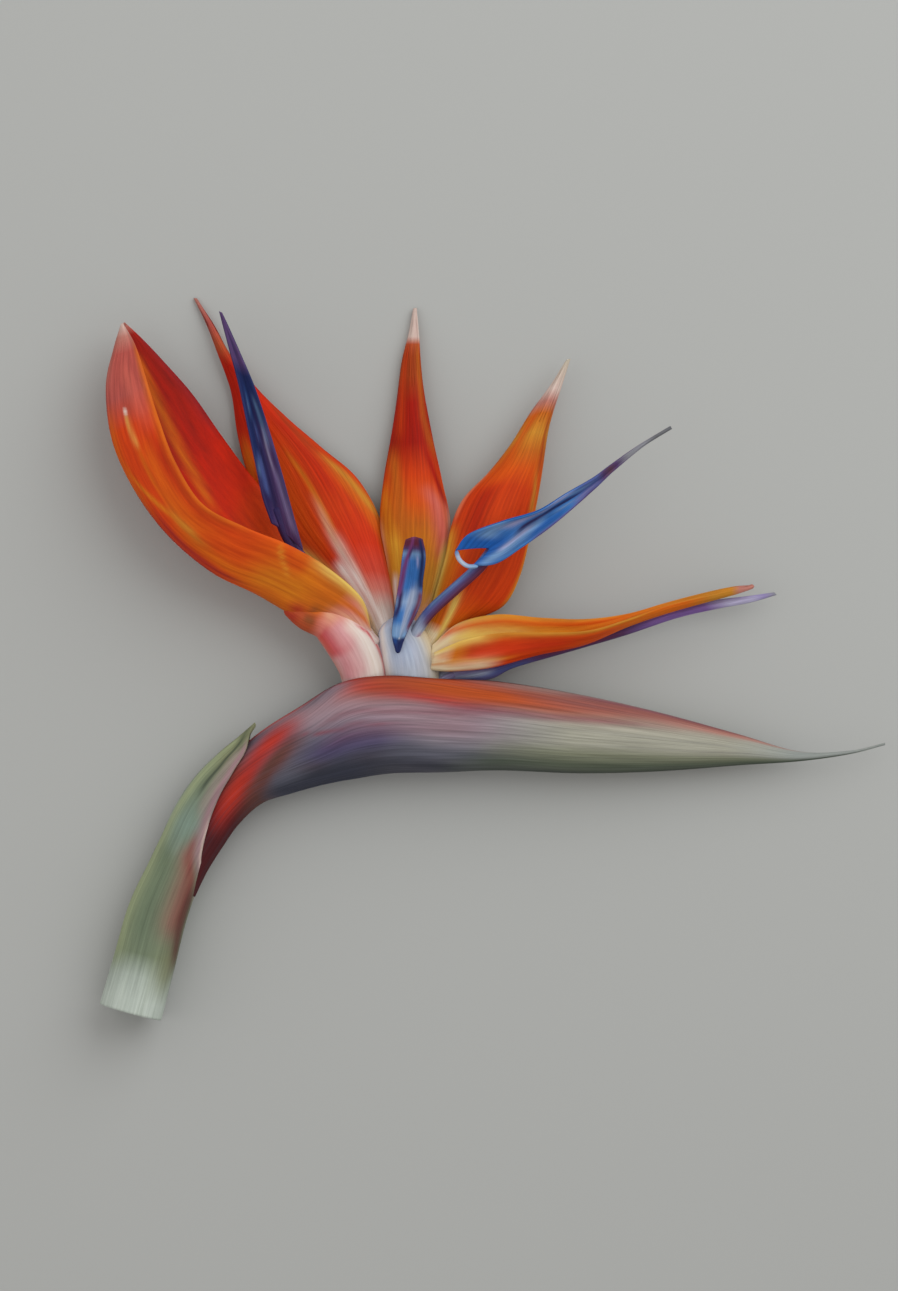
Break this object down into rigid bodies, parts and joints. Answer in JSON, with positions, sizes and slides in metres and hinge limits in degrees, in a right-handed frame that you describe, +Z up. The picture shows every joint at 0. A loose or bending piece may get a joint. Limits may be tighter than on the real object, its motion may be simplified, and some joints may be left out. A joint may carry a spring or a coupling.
{
  "type": "bird of paradise flower",
  "caption": "Cut bird of paradise flower lying on its side: a beak-like spathe on a sheathed stem, a fan of pointed orange sepals and blue arrow-shaped petals.",
  "frame": {"origin": "the middle of the flower's outline seen from above, on the surface it lies on", "axes": "+X along the spathe towards the tip of its beak, +Y through the fan of sepals, +Z up from the surface"},
  "size_m": [0.1966, 0.1811, 0.0253],
  "materials": {
    "sepal": "satin",
    "petal": "satin",
    "spathe": "satin",
    "stem": "satin",
    "floret": "satin"
  },
  "bodies": {
    "root": {"spathe": "spathe", "stem": "stem", "floret_base_left": "floret", "floret_base_right": "floret", "sepal_left": "sepal", "sepal_back_left": "sepal", "sepal_upright": "sepal", "sepal_right": "sepal", "sepal_low_right": "sepal", "arrow_petal_left": "petal", "arrow_petal_right": "petal", "arrow_petal_low": "petal", "hood_petal": "petal"}
  },
  "joints": []
}
